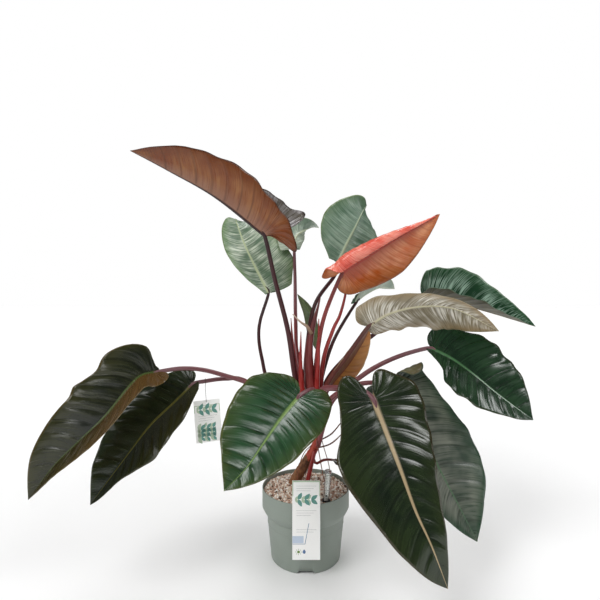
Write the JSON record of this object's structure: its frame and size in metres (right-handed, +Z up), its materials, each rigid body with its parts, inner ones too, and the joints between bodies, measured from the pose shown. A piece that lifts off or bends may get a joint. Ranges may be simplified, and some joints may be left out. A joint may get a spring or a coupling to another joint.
{
  "type": "potted philodendron",
  "caption": "Climbing aroid with large glossy arrow-shaped leaves on long stalks and red sheaths, in a tapered nursery pot of mineral granules.",
  "frame": {"origin": "centre of the pot's underside, on the small foot pad in its middle", "axes": "+Z up, the pot's axis; -Y towards the viewer of the picture"},
  "size_m": [1.2504, 0.7604, 1.0846],
  "materials": {
    "pot_plastic": "moulded, matt grey-green",
    "mineral_granules": "loose pumice, clay and zeolite grains",
    "bark": "dry, ringed with old leaf scars",
    "blade_copper": "satin leaf, copper underside",
    "blade_pale": "satin leaf, pale grey-green underside",
    "blade_coral": "glossy new leaf, coral red",
    "blade_greige": "satin leaf, grey-beige underside",
    "blade_green": "glossy leaf, deep green",
    "blade_dark": "glossy leaf, near-black green",
    "blade_olive": "glossy leaf, olive with ochre underside",
    "blade_amber": "satin leaf, half amber and half purple-brown",
    "stalk_dark": "satin, dark red-brown",
    "stalk_pink": "satin, dusky pink-purple",
    "stalk_red": "glossy, red",
    "sheath_red": "glossy, red leaf sheath",
    "dead_stalk": "dry, thin",
    "gauge_clear": "clear moulded tube with a pale scale",
    "gauge_dark": "moulded",
    "card_print": "coated, printed",
    "tag_print": "coated, printed",
    "thread": "thin twine"
  },
  "bodies": {
    "root": {"nursery_pot": "pot_plastic", "granules": "mineral_granules", "copper_leaf_blade": "blade_copper", "copper_leaf_stalk": "stalk_dark", "back_left_leaf_blade": "blade_pale", "back_left_leaf_stalk": "stalk_dark", "back_small_leaf_blade": "blade_pale", "back_small_leaf_stalk": "stalk_pink", "top_round_leaf_blade": "blade_pale", "top_round_leaf_stalk": "stalk_dark", "coral_leaf_blade": "blade_coral", "coral_leaf_stalk": "stalk_red", "pale_right_leaf_blade": "blade_greige", "pale_right_leaf_stalk": "stalk_red", "upper_right_leaf_blade": "blade_green", "upper_right_leaf_stalk": "stalk_dark", "right_dark_leaf_blade": "blade_dark", "right_dark_leaf_stalk": "stalk_pink", "front_large_leaf_blade": "blade_dark", "front_large_leaf_stalk": "stalk_pink", "front_right_leaf_blade": "blade_green", "front_right_leaf_stalk": "stalk_pink", "front_left_leaf_blade": "blade_green", "front_left_leaf_stalk": "stalk_pink", "far_left_leaf_blade": "blade_olive", "far_left_leaf_stalk": "stalk_pink", "left_dark_leaf_blade": "blade_dark", "left_dark_leaf_stalk": "stalk_pink", "amber_leaf_blade": "blade_amber", "amber_leaf_stalk": "stalk_pink", "back_pointed_leaf_blade": "blade_green", "back_pointed_leaf_stalk": "stalk_red", "behind_coral_leaf_blade": "blade_green", "behind_coral_leaf_stalk": "stalk_dark", "low_leaf_blade": "blade_dark", "low_leaf_stalk": "stalk_red", "woody_stump": "bark", "red_stem": "stalk_red", "red_shoot": "sheath_red", "spear": "sheath_red", "left_sheath": "sheath_red", "inner_left_sheath": "sheath_red", "broad_sheath": "sheath_red", "light_sheath": "sheath_red", "red_spike": "sheath_red", "upper_dead_stalk": "dead_stalk", "lower_dead_stalk": "dead_stalk", "gauge_tube": "gauge_clear", "gauge_cap": "gauge_clear", "gauge_ring": "gauge_dark", "care_card": "card_print", "hang_tag": "tag_print", "tag_loop": "thread", "tag_thread": "thread"}
  },
  "joints": []
}
